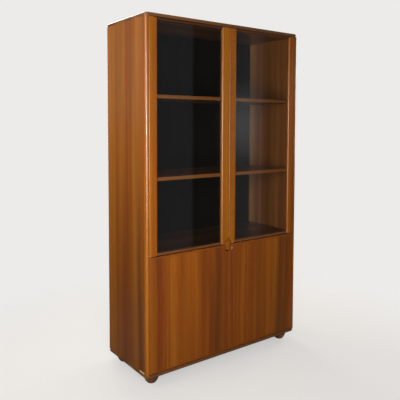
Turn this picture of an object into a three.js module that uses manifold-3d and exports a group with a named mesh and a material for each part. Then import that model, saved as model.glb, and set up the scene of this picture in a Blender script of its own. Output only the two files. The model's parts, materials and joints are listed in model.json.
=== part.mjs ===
// Walnut bookcase on turned feet: two glazed doors above two solid doors, around an oval finger hole.
// Millimetres, +Z up, front towards -Y, origin on the floor under the middle of the carcass.
import * as THREE from "three";
import { mergeVertices } from "three/addons/utils/BufferGeometryUtils.js";
import Module from "manifold-3d";

const wasm = await Module();
wasm.setup();

// Overall sizes
const overallWidth = 1200;
const overallDepth = 480;
const carcassHeight = 2080;

// Carcass panels
const slabThickness = 20;
const slabRound = 8;
const slabEase = 2;
const slabCornerRadius = 22;
const sideThickness = 18;
const sideBackRound = 12;
const postDepth = 24;
const postRound = 12;
const edgeEase = 1.5;
const backPanelThickness = 6;
const backPanelInset = 10;
const backGrooveDepth = 6;
const backGrooveSlack = 0.5;

// Doors and the gaps around them
const doorThickness = 22;
const doorEdgeRound = 4;
const doorCornerRadius = 5.5;
const doorSideGap = 2;
const meetingGap = 3;
const splitHeight = 706;
const stileWidth = 55;
const stileInnerRound = 10;
const railHeight = 14;
const railSetback = 5;
const railRound = 4;
const glassThickness = 4;
const glassSetback = 13;
const glassGrooveDepth = 8;
const railGrooveDepth = 6;
const glassEdgeSlack = 0.5;

// Finger hole where the four doors meet: an upright oval, and the wood behind it that closes the view
const fingerHoleRadius = 27;
const fingerHoleRise = 32;
const fingerHoleDrop = 47;
const fingerHoleRim = 7;
const fingerHoleBackRim = 3;
const fingerScreenHalfWidth = 40;
const fingerScreenThickness = 8;

// Pivot hinges
const pivotPlateThickness = 2.4;
const pivotPlateLength = 36;
const pivotPlateMargin = 3.5;
const pivotPinRadius = 3.5;
const pivotPinLength = 11;
const pivotFromDoorEdge = 14;
const pivotFromDoorFront = 9;
const bushWall = 1.7;
const bushLength = 12;
const bushFlangeWidth = 2.5;
const bushFlangeThickness = 0.7;
const flangeHeight = 14;
const flangeLength = 40;

// Shelves and what carries them
const shelfThickness = 22;
const shelfRound = 3;
const middleShelfThickness = 20;
const middleShelfSetback = 34;
const middleLippingThickness = 20;
const shelfSetback = 42;
const shelfSideSlack = 1.5;
const shelfBackSlack = 2;
const upperShelfHighTopShare = 0.681;
const upperShelfLowTopShare = 0.327;
const lowerShelfTopShare = 0.5;
const pinRadius = 2.5;
const pinHeadRadius = 3.5;
const pinHeadLength = 9;
const pinBoreDepth = 10;
const pinFromShelfEdge = 60;

// Turned feet
const footHeight = 57;
const footTopRadius = 48;
const footFlatRadius = 19;
const footCurvePower = 1.6;
const footInset = 72;
const spigotRadius = 8;
const spigotLength = 12;

// Magnetic catches and their strikes
const catchHalfWidth = 44;
const catchDepth = 14;
const catchHeight = 18;
const catchEase = 2;
const strikeWidth = 26;
const strikeHeight = 12;
const strikeThickness = 1.2;
const strikeFromEdge = 12;
const strikeMargin = 1.5;

// Blank inlaid plate low on the left side
const plateLength = 52;
const plateHeight = 9;
const plateThickness = 0.7;
const platePocketDepth = 1;
const plateFromFront = 30;
const plateAboveSlab = 3;

// Clearances and how finely curves are cut
const jointGap = 0.3;
const runGap = 0.3;
const cutOverrun = 5;
const largeRound = 3;
const largeRoundSteps = 5;
const smallRoundSteps = 2;
const holeQuarterSteps = 8;
const footSteps = 28;
const footRings = 9;
const pinSteps = 12;
const quarter = Math.PI / 2;

// Places that follow from the sizes; the left half is drawn and the right half mirrors it
const outerX = -overallWidth / 2;
const innerX = outerX + sideThickness;
const doorOuterX = innerX + doorSideGap;
const doorInnerX = -meetingGap / 2;
const frontY = -overallDepth / 2;
const backY = overallDepth / 2;
const doorBackY = frontY + doorThickness;
const postBackY = frontY + postDepth;
const grooveBackY = backY - backPanelInset;
const grooveFrontY = grooveBackY - backPanelThickness - 2 * jointGap;
const baseTopZ = footHeight + slabThickness;
const carcassTopZ = footHeight + carcassHeight;
const ceilingZ = carcassTopZ - slabThickness;
const splitZ = footHeight + splitHeight;

// The door gaps leave room for a plate, the running gap and the flange of a bush
const bushSeatHeight = runGap + bushFlangeThickness + jointGap;
const slabDoorGap = jointGap + pivotPlateThickness + bushSeatHeight;
const splitHalfGap = pivotPlateThickness / 2 + bushSeatHeight;
const lowerDoorBottomZ = baseTopZ + slabDoorGap;
const lowerDoorTopZ = splitZ - splitHalfGap;
const upperDoorBottomZ = splitZ + splitHalfGap;
const upperDoorTopZ = ceilingZ - slabDoorGap;
const doorWidth = doorInnerX - doorOuterX;
const pivotX = doorOuterX + pivotFromDoorEdge;
const pivotY = frontY + pivotFromDoorFront;
const bushBoreRadius = pivotPinRadius + runGap;
const bushRadius = bushBoreRadius + bushWall;
const middleShelfFrontY = frontY + middleShelfSetback;
const middleShelfTopZ = splitZ + middleShelfThickness / 2;
const middleShelfUnderZ = splitZ - middleShelfThickness / 2;
const middleLippingUnderZ = splitZ - fingerHoleDrop;
const fingerScreenTopZ = splitZ + fingerHoleRise;
const shelfFrontY = frontY + shelfSetback;
const shelfBackY = grooveFrontY + jointGap - shelfBackSlack;
const upperRoom = ceilingZ - middleShelfTopZ;
const lowerRoom = middleShelfUnderZ - baseTopZ;

// Shelf heights as the level of each top face
const shelfTops = {
  upper_shelf_high: middleShelfTopZ + upperRoom * upperShelfHighTopShare,
  upper_shelf_low: middleShelfTopZ + upperRoom * upperShelfLowTopShare,
  lower_shelf: baseTopZ + lowerRoom * lowerShelfTopShare,
};

// Finishes
const finish = (color, roughness, metalness = 0) =>
  new THREE.MeshStandardMaterial({ color, roughness, metalness });
const veneer = finish(0x8a4a1a, 0.38);
const solidWalnut = finish(0x9a5c26, 0.34);
const doorVeneer = finish(0x7c4218, 0.38);
const shelfWood = finish(0x74451f, 0.42);
const darkBack = finish(0x1c1a1a, 0.7);
const turnedWood = finish(0x6b4028, 0.4);
const brass = finish(0xc9a35f, 0.3, 0.9);
const steel = finish(0x9a9a98, 0.35, 0.9);
const catchPlastic = finish(0x3a2a20, 0.55);
const glass = new THREE.MeshStandardMaterial({
  color: 0xdfe8e6,
  roughness: 0.05,
  metalness: 0,
  transparent: true,
  opacity: 0.2,
});

const bookcase = new THREE.Group();
const leftHalf = new THREE.Group();
const rightHalf = new THREE.Group();
rightHalf.scale.x = -1;
bookcase.add(leftHalf, rightHalf);

function addPiece(parent, name, geometry, material) {
  const mesh = new THREE.Mesh(geometry, material);
  mesh.name = name;
  parent.add(mesh);
}

// A closed geometry as a solid that can be joined and cut.
function solidOf(geometry) {
  const bare = geometry.clone();
  bare.deleteAttribute("normal");
  bare.deleteAttribute("uv");
  const merged = mergeVertices(bare);
  return new wasm.Manifold(
    new wasm.Mesh({
      numProp: 3,
      vertProperties: new Float32Array(merged.attributes.position.array),
      triVerts: new Uint32Array(merged.index.array),
    }),
  );
}

function geometryOf(solid) {
  const { vertProperties, triVerts } = solid.getMesh();
  const geometry = new THREE.BufferGeometry();
  geometry.setAttribute("position", new THREE.BufferAttribute(vertProperties, 3));
  geometry.setIndex(new THREE.BufferAttribute(triVerts, 1));
  geometry.computeVertexNormals();
  return geometry;
}

function cut(geometry, cutters) {
  return geometryOf(cutters.reduce((left, tool) => left.subtract(solidOf(tool)), solidOf(geometry)));
}

function join(geometries) {
  return geometryOf(geometries.map(solidOf).reduce((left, right) => left.add(right)));
}

// The outline through corners given as [x, y, radius], each rounded to its radius.
function filletedShape(corners) {
  const points = corners.flatMap(([x, y, radius], i) => {
    const corner = new THREE.Vector2(x, y);
    if (!radius) return [corner];
    const neighbour = (step) => {
      const [nx, ny] = corners[(i + step + corners.length) % corners.length];
      return new THREE.Vector2(nx, ny).sub(corner).normalize();
    };
    const before = neighbour(-1);
    const after = neighbour(1);
    const halfAngle = Math.acos(before.dot(after)) / 2;
    const middle = before.clone().add(after).normalize();
    const centre = corner.clone().addScaledVector(middle, radius / Math.sin(halfAngle));
    const reach = radius / Math.tan(halfAngle);
    const first = corner.clone().addScaledVector(before, reach).sub(centre).angle();
    const last = corner.clone().addScaledVector(after, reach).sub(centre).angle();
    const turn = Math.atan2(Math.sin(last - first), Math.cos(last - first));
    const steps = radius > largeRound ? largeRoundSteps : smallRoundSteps;
    return Array.from({ length: steps + 1 }, (_, k) => {
      const angle = first + (turn * k) / steps;
      return new THREE.Vector2(Math.cos(angle), Math.sin(angle)).multiplyScalar(radius).add(centre);
    });
  });
  return new THREE.Shape(points);
}

const extruded = (shape, length) => new THREE.ExtrudeGeometry(shape, { depth: length, bevelEnabled: false });

// A post of the outline drawn in X and Y, standing from one level to another.
const upright = (corners, bottomZ, topZ) =>
  extruded(filletedShape(corners), topZ - bottomZ).translate(0, 0, bottomZ);

// A bar of the outline drawn in Y and Z, running from one X to another.
function crosswise(corners, fromX, toX) {
  const turned = new THREE.Matrix4().makeBasis(
    new THREE.Vector3(0, 1, 0),
    new THREE.Vector3(0, 0, 1),
    new THREE.Vector3(1, 0, 0),
  );
  return extruded(filletedShape(corners), toX - fromX).applyMatrix4(turned).translate(fromX, 0, 0);
}

const block = (low, high) =>
  new THREE.BoxGeometry(...high.map((value, i) => value - low[i])).translate(
    ...high.map((value, i) => (value + low[i]) / 2),
  );

// A quarter round as [inset, height] steps, from the vertical face inwards.
const quarterRound = (radius, steps) =>
  Array.from({ length: steps + 1 }, (_, k) => {
    const angle = (quarter * k) / steps;
    return [radius * (1 - Math.cos(angle)), radius * Math.sin(angle)];
  });

// A solid through rings of one rounded rectangle, each with its own [inset, height], from the lowest up.
function ringSolid(width, length, cornerRadius, rings, steps) {
  const signs = [[1, 1], [-1, 1], [-1, -1], [1, -1]];
  const positions = rings.flatMap(([inset, z]) =>
    signs.flatMap(([sx, sy], corner) =>
      Array.from({ length: steps + 1 }, (_, k) => {
        const angle = quarter * (corner + k / steps);
        const radius = cornerRadius - inset;
        return [
          sx * (width / 2 - cornerRadius) + radius * Math.cos(angle),
          sy * (length / 2 - cornerRadius) + radius * Math.sin(angle),
          z,
        ];
      }),
    ),
  );
  const count = signs.length * (steps + 1);
  const triangles = [];
  for (let ring = 0; ring + 1 < rings.length; ring += 1) {
    for (let i = 0; i < count; i += 1) {
      const [a, b] = [i, (i + 1) % count].map((place) => ring * count + place);
      triangles.push(a, b, b + count, a, b + count, a + count);
    }
  }
  const topStart = (rings.length - 1) * count;
  for (let i = 1; i + 1 < count; i += 1) {
    triangles.push(0, i + 1, i, topStart, topStart + i, topStart + i + 1);
  }
  const geometry = new THREE.BufferGeometry();
  geometry.setAttribute("position", new THREE.Float32BufferAttribute(positions.flat(), 3));
  geometry.setIndex(triangles);
  geometry.computeVertexNormals();
  return geometry;
}

// A board with a rounded outline and two rounded rims.
function roundedBoard(width, length, thickness, cornerRadius, lowRound, highRound) {
  const low = quarterRound(lowRound, smallRoundSteps).map(([inset, height]) => [inset, lowRound - height]);
  const high = quarterRound(highRound, largeRoundSteps).map(([inset, height]) => [
    inset,
    thickness - highRound + height,
  ]);
  return ringSolid(width, length, cornerRadius, [...low.reverse(), ...high], largeRoundSteps);
}

// A turned solid about a vertical axis, from [radius, height] points that run upwards.
const turned = (profile, steps) =>
  new THREE.LatheGeometry(profile.map(([radius, z]) => new THREE.Vector2(radius, z)), steps).rotateX(quarter);

const rod = (radius, bottomZ, topZ, steps) =>
  turned([[0, bottomZ], [radius, bottomZ], [radius, topZ], [0, topZ]], steps);

// Top and base slabs
const backGroove = (lowZ, highZ) =>
  block(
    [innerX - backGrooveDepth, grooveFrontY, lowZ],
    [-innerX + backGrooveDepth, grooveBackY, highZ],
  );
const feetPlaces = ["front", "rear"].map((row) => ({
  row,
  x: outerX + footInset,
  y: row === "front" ? frontY + footInset : backY - footInset,
}));

function addSlabs() {
  const slab = () =>
    roundedBoard(overallWidth, overallDepth, slabThickness, slabCornerRadius, slabEase, slabRound);
  const top = slab().translate(0, 0, ceilingZ);
  const topGroove = backGroove(ceilingZ - cutOverrun, ceilingZ + backGrooveDepth);
  addPiece(bookcase, "top_panel", cut(top, [topGroove]), veneer);
  const base = slab().rotateX(Math.PI).translate(0, 0, baseTopZ);
  const spigotBores = feetPlaces.flatMap(({ x, y }) =>
    [x, -x].map((sideX) =>
      rod(spigotRadius + jointGap, footHeight - cutOverrun, footHeight + spigotLength + jointGap, pinSteps)
        .translate(sideX, y, 0),
    ),
  );
  const cutters = [backGroove(baseTopZ - backGrooveDepth, baseTopZ + cutOverrun), ...spigotBores];
  addPiece(bookcase, "base_panel", cut(base, cutters), veneer);
}

// Shelf pins: where they sit along the depth, and how high
const pinYs = { front: shelfFrontY + pinFromShelfEdge, rear: shelfBackY - pinFromShelfEdge };
const pinZ = (shelfTopZ) => shelfTopZ - shelfThickness - jointGap - pinHeadRadius;

// A short rod along X, from the left end to the right end.
const crossRod = (radius, fromX, toX, y, z) =>
  rod(radius, fromX, toX, pinSteps).rotateY(quarter).translate(0, y, z);

// Side panels, the solid posts on their front edges, and the shelf pins in their bores
function addSide(half, side) {
  const outline = [
    [outerX, postBackY + jointGap, 0],
    [innerX, postBackY + jointGap, 0],
    [innerX, grooveFrontY, 0],
    [innerX - backGrooveDepth, grooveFrontY, 0],
    [innerX - backGrooveDepth, grooveBackY, 0],
    [innerX, grooveBackY, 0],
    [innerX, backY, edgeEase],
    [outerX, backY, sideBackRound],
  ];
  const panel = upright(outline, baseTopZ + jointGap, ceilingZ - jointGap);
  const cutters = Object.values(shelfTops).flatMap((topZ) =>
    Object.values(pinYs).map((y) =>
      crossRod(pinRadius + jointGap, innerX - pinBoreDepth, innerX + cutOverrun, y, pinZ(topZ)),
    ),
  );
  if (side === "left") cutters.push(platePocket());
  addPiece(half, `side_panel_${side}`, cut(panel, cutters), veneer);
  const post = [
    [outerX, frontY, postRound],
    [innerX, frontY, edgeEase],
    [innerX, postBackY, 0],
    [outerX, postBackY, 0],
  ];
  addPiece(half, `front_post_${side}`, upright(post, baseTopZ + jointGap, ceilingZ - jointGap), solidWalnut);
  for (const [shelf, topZ] of Object.entries(shelfTops)) {
    for (const [place, y] of Object.entries(pinYs)) {
      const shankX = innerX - pinBoreDepth + jointGap;
      const headX = innerX + jointGap;
      const pin = turned(
        [
          [0, shankX],
          [pinRadius, shankX],
          [pinRadius, headX],
          [pinHeadRadius, headX],
          [pinHeadRadius, headX + pinHeadLength],
          [0, headX + pinHeadLength],
        ],
        pinSteps,
      );
      const name = `${shelf.replace("shelf", "pin")}_${side}_${place}`;
      addPiece(half, name, pin.rotateY(quarter).translate(0, y, pinZ(topZ)), steel);
    }
  }
}

// Pocket and plate on the left side, just above the base slab
const plateFrontY = frontY + plateFromFront;
const plateBottomZ = baseTopZ + plateAboveSlab;

function platePocket() {
  return block(
    [outerX - cutOverrun, plateFrontY - jointGap, plateBottomZ - jointGap],
    [outerX + platePocketDepth, plateFrontY + plateLength + jointGap, plateBottomZ + plateHeight + jointGap],
  );
}

function addPlate() {
  const low = [outerX + platePocketDepth - jointGap - plateThickness, plateFrontY, plateBottomZ];
  const high = [outerX + platePocketDepth - jointGap, plateFrontY + plateLength, plateBottomZ + plateHeight];
  addPiece(bookcase, "blank_plate", block(low, high), brass);
}

function addBackPanel() {
  const halfWidth = -innerX + backGrooveDepth - backGrooveSlack;
  const low = [-halfWidth, grooveFrontY + jointGap, baseTopZ - backGrooveDepth + backGrooveSlack];
  const high = [halfWidth, grooveBackY - jointGap, ceilingZ + backGrooveDepth - backGrooveSlack];
  addPiece(bookcase, "back_panel", block(low, high), darkBack);
}

// End outlines in Y and Z. The middle shelf has a deep lipping with a low screen on it behind the finger hole.
function addShelves() {
  const lippingBackY = middleShelfFrontY + middleLippingThickness;
  const middle = [
    [middleShelfFrontY, middleLippingUnderZ, shelfRound],
    [lippingBackY, middleLippingUnderZ, edgeEase],
    [lippingBackY, middleShelfUnderZ, 0],
    [grooveFrontY, middleShelfUnderZ, 0],
    [grooveFrontY, middleShelfTopZ, 0],
    [middleShelfFrontY, middleShelfTopZ, shelfRound],
  ];
  const screenBackY = middleShelfFrontY + fingerScreenThickness;
  const screen = [
    [middleShelfFrontY, splitZ, 0],
    [screenBackY, splitZ, 0],
    [screenBackY, fingerScreenTopZ, shelfRound],
    [middleShelfFrontY, fingerScreenTopZ, shelfRound],
  ];
  const middleEnd = innerX + jointGap;
  const middleShelf = join([
    crosswise(middle, middleEnd, -middleEnd),
    crosswise(screen, -fingerScreenHalfWidth, fingerScreenHalfWidth),
  ]);
  addPiece(bookcase, "middle_shelf", middleShelf, shelfWood);
  const shelfEnd = innerX + shelfSideSlack;
  for (const [name, topZ] of Object.entries(shelfTops)) {
    const outline = [
      [shelfFrontY, topZ - shelfThickness, shelfRound],
      [shelfBackY, topZ - shelfThickness, 0],
      [shelfBackY, topZ, 0],
      [shelfFrontY, topZ, shelfRound],
    ];
    addPiece(bookcase, name, crosswise(outline, shelfEnd, -shelfEnd), shelfWood);
  }
}

// Turned foot: a swelling curve from the wide top to the small flat, and a spigot in the base slab
function addFeet(half, side) {
  const curve = Array.from({ length: footRings + 1 }, (_, k) => {
    const drop = Math.cos((quarter * k) / footRings);
    const swell = (1 - drop ** footCurvePower) ** (1 / footCurvePower);
    const height = (footHeight - jointGap) * (1 - drop);
    return [footFlatRadius + (footTopRadius - footFlatRadius) * swell, height];
  });
  const shoulderZ = footHeight - jointGap;
  const profile = [
    [0, 0],
    ...curve,
    [spigotRadius, shoulderZ],
    [spigotRadius, footHeight + spigotLength],
    [0, footHeight + spigotLength],
  ];
  for (const { row, x, y } of feetPlaces) {
    addPiece(half, `foot_${row}_${side}`, turned(profile, footSteps).translate(x, y, 0), turnedWood);
  }
}

// Pivot hinges: a pin on a plate under the top, on the base, and on a bracket between the doors
const plateStartX = innerX + jointGap;
const plateEndX = plateStartX + pivotPlateLength;
const plateHalfWidth = pivotPinRadius + pivotPlateMargin;
const pivotPlate = (bottomZ) =>
  block(
    [plateStartX, pivotY - plateHalfWidth, bottomZ],
    [plateEndX, pivotY + plateHalfWidth, bottomZ + pivotPlateThickness],
  );
const pivotPin = (bottomZ, topZ) => rod(pivotPinRadius, bottomZ, topZ, pinSteps).translate(pivotX, pivotY, 0);

function addPivots(half, side) {
  const topPlateZ = ceilingZ - jointGap - pivotPlateThickness;
  const topPin = pivotPin(topPlateZ - pivotPinLength, topPlateZ + pivotPlateThickness / 2);
  addPiece(half, `top_pivot_${side}`, join([pivotPlate(topPlateZ), topPin]), steel);
  const basePlateZ = baseTopZ + jointGap;
  const basePlateTopZ = basePlateZ + pivotPlateThickness;
  const basePin = pivotPin(basePlateZ + pivotPlateThickness / 2, basePlateTopZ + pivotPinLength);
  addPiece(half, `base_pivot_${side}`, join([pivotPlate(basePlateZ), basePin]), steel);
  const halfPlate = pivotPlateThickness / 2;
  const flangeBackY = middleShelfFrontY - jointGap;
  const flangeFrontY = flangeBackY - pivotPlateThickness;
  const tongue = block(
    [plateStartX, pivotY - plateHalfWidth, splitZ - halfPlate],
    [plateEndX, flangeBackY, splitZ + halfPlate],
  );
  const flange = block(
    [plateStartX, flangeFrontY, splitZ - flangeHeight / 2],
    [plateStartX + flangeLength, flangeBackY, splitZ + flangeHeight / 2],
  );
  const pin = pivotPin(splitZ - halfPlate - pivotPinLength, splitZ + halfPlate + pivotPinLength);
  addPiece(half, `middle_pivot_bracket_${side}`, join([tongue, flange, pin]), steel);
}

// A flanged bush at a door's edge; up is 1 in a bottom edge and -1 in a top edge.
function bushGeometry(edgeZ, up) {
  const flangeZ = -jointGap - bushFlangeThickness;
  const ring = [
    [bushBoreRadius, flangeZ],
    [bushRadius + bushFlangeWidth, flangeZ],
    [bushRadius + bushFlangeWidth, -jointGap],
    [bushRadius, -jointGap],
    [bushRadius, bushLength],
    [bushBoreRadius, bushLength],
    [bushBoreRadius, flangeZ],
  ];
  const bush = turned(ring, pinSteps);
  if (up < 0) bush.rotateX(Math.PI);
  return bush.translate(pivotX, pivotY, edgeZ);
}

// The bore for a bush, from the door's edge inwards
const bushBore = (edgeZ, up) =>
  rod(bushRadius + jointGap, -cutOverrun, bushLength + jointGap, pinSteps)
    .rotateX(up < 0 ? Math.PI : 0)
    .translate(pivotX, pivotY, edgeZ);

// The finger hole: an upright oval bore with a soft rim in front and a small one behind
function fingerHole() {
  const backRim = quarterRound(fingerHoleBackRim, smallRoundSteps).map(([outset, rise]) => [
    -outset,
    fingerHoleBackRim - rise,
  ]);
  const frontRim = quarterRound(fingerHoleRim, largeRoundSteps).map(([outset, rise]) => [
    -outset,
    doorThickness - fingerHoleRim + rise,
  ]);
  const rings = [
    [-fingerHoleBackRim, -cutOverrun],
    ...backRim.reverse(),
    ...frontRim,
    [-fingerHoleRim, doorThickness + cutOverrun],
  ];
  const height = fingerHoleRise + fingerHoleDrop;
  return ringSolid(2 * fingerHoleRadius, height, fingerHoleRadius, rings, holeQuarterSteps)
    .rotateX(quarter)
    .translate(0, doorBackY, splitZ + (fingerHoleRise - fingerHoleDrop) / 2);
}

// A stile's outline; inwards is 1 when the glass is towards the centre of the bookcase, and -1 when away.
function stileOutline(edgeX, inwards) {
  const at = (u, v, radius) => [edgeX + inwards * u, frontY + v, radius];
  const grooveFront = glassSetback - jointGap;
  const grooveBack = glassSetback + glassThickness + jointGap;
  return [
    at(0, 0, doorEdgeRound),
    at(stileWidth, 0, stileInnerRound),
    at(stileWidth, grooveFront, 0),
    at(stileWidth - glassGrooveDepth, grooveFront, 0),
    at(stileWidth - glassGrooveDepth, grooveBack, 0),
    at(stileWidth, grooveBack, 0),
    at(stileWidth, doorThickness, edgeEase),
    at(0, doorThickness, edgeEase),
  ];
}

// A rail's outline in Y and Z; up is 1 for the bottom rail and -1 for the top rail.
function railOutline(edgeZ, up) {
  const at = (v, w, radius) => [frontY + v, edgeZ + up * w, radius];
  const grooveFront = glassSetback - jointGap;
  const grooveBack = glassSetback + glassThickness + jointGap;
  return [
    at(railSetback, 0, edgeEase),
    at(doorThickness, 0, edgeEase),
    at(doorThickness, railHeight, edgeEase),
    at(grooveBack, railHeight, 0),
    at(grooveBack, railHeight - railGrooveDepth, 0),
    at(grooveFront, railHeight - railGrooveDepth, 0),
    at(grooveFront, railHeight, 0),
    at(railSetback, railHeight, railRound),
  ];
}

function addStrike(half, name, lowZ) {
  const low = [doorInnerX - strikeFromEdge - strikeWidth, doorBackY + jointGap, lowZ];
  const high = [doorInnerX - strikeFromEdge, doorBackY + jointGap + strikeThickness, lowZ + strikeHeight];
  addPiece(half, name, block(low, high), steel);
}

function addUpperDoor(half, side) {
  const prefix = `upper_door_${side}`;
  const hingeStile = upright(stileOutline(doorOuterX, 1), upperDoorBottomZ, upperDoorTopZ);
  const bores = [bushBore(upperDoorBottomZ, 1), bushBore(upperDoorTopZ, -1)];
  addPiece(half, `${prefix}_hinge_stile`, cut(hingeStile, bores), solidWalnut);
  const meetingStile = upright(stileOutline(doorInnerX, -1), upperDoorBottomZ, upperDoorTopZ);
  addPiece(half, `${prefix}_meeting_stile`, cut(meetingStile, [fingerHole()]), solidWalnut);
  const railStartX = doorOuterX + stileWidth + jointGap;
  const railEndX = doorInnerX - stileWidth - jointGap;
  const bottomRail = crosswise(railOutline(upperDoorBottomZ, 1), railStartX, railEndX);
  const topRail = crosswise(railOutline(upperDoorTopZ, -1), railStartX, railEndX);
  addPiece(half, `${prefix}_bottom_rail`, bottomRail, solidWalnut);
  addPiece(half, `${prefix}_top_rail`, topRail, solidWalnut);
  const glassReach = glassGrooveDepth - glassEdgeSlack;
  const railReach = railHeight - railGrooveDepth + glassEdgeSlack;
  const pane = block(
    [doorOuterX + stileWidth - glassReach, frontY + glassSetback, upperDoorBottomZ + railReach],
    [doorInnerX - stileWidth + glassReach, frontY + glassSetback + glassThickness, upperDoorTopZ - railReach],
  );
  addPiece(half, `${prefix}_glass`, pane, glass);
  addPiece(half, `${prefix}_top_bush`, bushGeometry(upperDoorTopZ, -1), brass);
  addPiece(half, `${prefix}_bottom_bush`, bushGeometry(upperDoorBottomZ, 1), brass);
  addStrike(half, `${prefix}_strike`, upperDoorTopZ - strikeMargin - strikeHeight);
}

function addLowerDoor(half, side) {
  const prefix = `lower_door_${side}`;
  const height = lowerDoorTopZ - lowerDoorBottomZ;
  const board = roundedBoard(doorWidth, height, doorThickness, doorCornerRadius, edgeEase, doorEdgeRound)
    .rotateX(quarter)
    .translate((doorOuterX + doorInnerX) / 2, doorBackY, (lowerDoorTopZ + lowerDoorBottomZ) / 2);
  const cutters = [bushBore(lowerDoorBottomZ, 1), bushBore(lowerDoorTopZ, -1), fingerHole()];
  addPiece(half, `${prefix}_panel`, cut(board, cutters), doorVeneer);
  addPiece(half, `${prefix}_top_bush`, bushGeometry(lowerDoorTopZ, -1), brass);
  addPiece(half, `${prefix}_bottom_bush`, bushGeometry(lowerDoorBottomZ, 1), brass);
  addStrike(half, `${prefix}_strike`, lowerDoorBottomZ + strikeMargin);
}

// One double magnetic catch under the top and one on the base, behind the meeting edges of the doors
function addCatches() {
  const catchFrontY = doorBackY + strikeThickness + 2 * jointGap;
  const catchBody = (bottomZ) => {
    const outline = [
      [catchFrontY, bottomZ, catchEase],
      [catchFrontY + catchDepth, bottomZ, catchEase],
      [catchFrontY + catchDepth, bottomZ + catchHeight, catchEase],
      [catchFrontY, bottomZ + catchHeight, catchEase],
    ];
    return crosswise(outline, -catchHalfWidth, catchHalfWidth);
  };
  addPiece(bookcase, "upper_magnet_catch", catchBody(ceilingZ - jointGap - catchHeight), catchPlastic);
  addPiece(bookcase, "lower_magnet_catch", catchBody(baseTopZ + jointGap), catchPlastic);
}

addSlabs();
addBackPanel();
addShelves();
addCatches();
addPlate();
for (const [side, half] of Object.entries({ left: leftHalf, right: rightHalf })) {
  addSide(half, side);
  addFeet(half, side);
  addPivots(half, side);
  addUpperDoor(half, side);
  addLowerDoor(half, side);
}

export default bookcase;
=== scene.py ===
"""The looks of a walnut bookcase with two glazed doors above two solid ones, on four turned feet.

Metres, +Z up, front towards -Y. Every piece of wood and metal is drawn again here with finer edges,
at the size and place of the construction's own piece, and gets a procedural finish.
"""

import json
from collections import namedtuple
from math import atan2, cos, pi, radians, sin, tan

import bmesh
import bpy
from mathutils import Matrix, Vector

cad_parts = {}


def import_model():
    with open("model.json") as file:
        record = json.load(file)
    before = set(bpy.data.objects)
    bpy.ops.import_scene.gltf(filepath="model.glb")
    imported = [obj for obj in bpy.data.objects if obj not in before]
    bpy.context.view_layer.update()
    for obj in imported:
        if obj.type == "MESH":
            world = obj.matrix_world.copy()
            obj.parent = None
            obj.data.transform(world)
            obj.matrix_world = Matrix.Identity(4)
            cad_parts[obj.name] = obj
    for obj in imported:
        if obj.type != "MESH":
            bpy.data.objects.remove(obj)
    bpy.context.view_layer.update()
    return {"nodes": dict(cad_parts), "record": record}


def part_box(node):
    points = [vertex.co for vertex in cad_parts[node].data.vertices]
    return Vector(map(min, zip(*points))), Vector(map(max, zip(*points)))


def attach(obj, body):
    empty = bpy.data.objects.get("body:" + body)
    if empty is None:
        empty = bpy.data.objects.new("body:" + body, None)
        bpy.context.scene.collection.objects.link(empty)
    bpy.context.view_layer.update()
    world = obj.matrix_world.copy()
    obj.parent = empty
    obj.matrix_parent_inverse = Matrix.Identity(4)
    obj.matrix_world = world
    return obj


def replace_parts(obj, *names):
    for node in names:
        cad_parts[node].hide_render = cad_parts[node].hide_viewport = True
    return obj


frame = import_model()

NODES = frame["nodes"]
BODY_OF = {node: body for body, nodes in frame["record"]["behaviour"]["bodies"].items() for node in nodes}
SLOT_OF = {part["node"]: part["material_slot"] for part in frame["record"]["subparts"]}
SIDES = ("left", "right")

# Rounds and small sizes of the wood, as the construction has them
SLAB_CORNER = 0.022
SLAB_ROUND = 0.008
SLAB_EASE = 0.002
SIDE_BACK_ROUND = 0.012
POST_ROUND = 0.012
EDGE_EASE = 0.0015
END_EASE = 0.0006
DOOR_ROUND = 0.004
DOOR_CORNER = 0.0055
STILE_INNER_ROUND = 0.010
STILE_GROOVE = 0.008
RAIL_GROOVE = 0.006
RAIL_ROUND = 0.004
SHELF_ROUND = 0.003
MIDDLE_THICKNESS = 0.020
MIDDLE_LIPPING = 0.020
SCREEN_HALF_WIDTH = 0.040
SCREEN_THICKNESS = 0.008
BACK_SLACK = 0.0005
GAP = 0.0003
HOLE_RADIUS = 0.027
HOLE_RISE = 0.032
HOLE_DROP = 0.047
HOLE_RIM = 0.007
HOLE_BACK_RIM = 0.003
FOOT_CURVE_POWER = 1.6
FOOT_FLAT_RADIUS = 0.019
SPIGOT_RADIUS = 0.008
OVERRUN = 0.005

# Small sizes of the metal pieces, as the construction has them
PIN_RADIUS = 0.0025
PIN_HEAD_LENGTH = 0.009
PIVOT_RADIUS = 0.0035
PLATE_THICKNESS = 0.0024
FLANGE_HEIGHT = 0.014
BUSH_RADIUS = 0.0055
BUSH_BORE_RADIUS = 0.0038
BUSH_FLANGE = 0.0007
CATCH_ROUND = 0.002

# Finer details that only show here
LIPPING = 0.012
SHELF_STRIP = 0.006
LIPPING_JOINT = 0.0005
METAL_CORNER = 0.0025
METAL_EASE = 0.0003
PIN_NOSE = 0.0015
PIVOT_CHAMFER = 0.0008
SCREW_RADIUS = 0.003
SCREW_SHANK_RADIUS = 0.0015
SCREW_DEPTH = 0.0014
SCREW_FROM_END = 0.005
SCREW_SLOT_WIDTH = 0.0008
SCREW_SLOT_DEPTH = 0.0007
SCREW_SLOT_LENGTH = 0.0038
SEAT_GAP = 0.00005
MAGNET_MARGIN = 0.002
MAGNET_DEPTH = 0.0012

# How curves are cut, and when points are the same and edges sharp
CORNER_STEPS = 10
RIM_STEPS = 8
HOLE_QUARTER_STEPS = 32
FLOOR_STEPS = 128
BORE_STEPS = 32
METAL_STEPS = 48
FOOT_STEPS = 96
FOOT_RINGS = 40
NOSE_STEPS = 6
EASE_STEPS = 2
ROUND_PROFILE = 0.5
SAME_PLACE = 1e-7
SHARP_ANGLE = radians(35)

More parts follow.
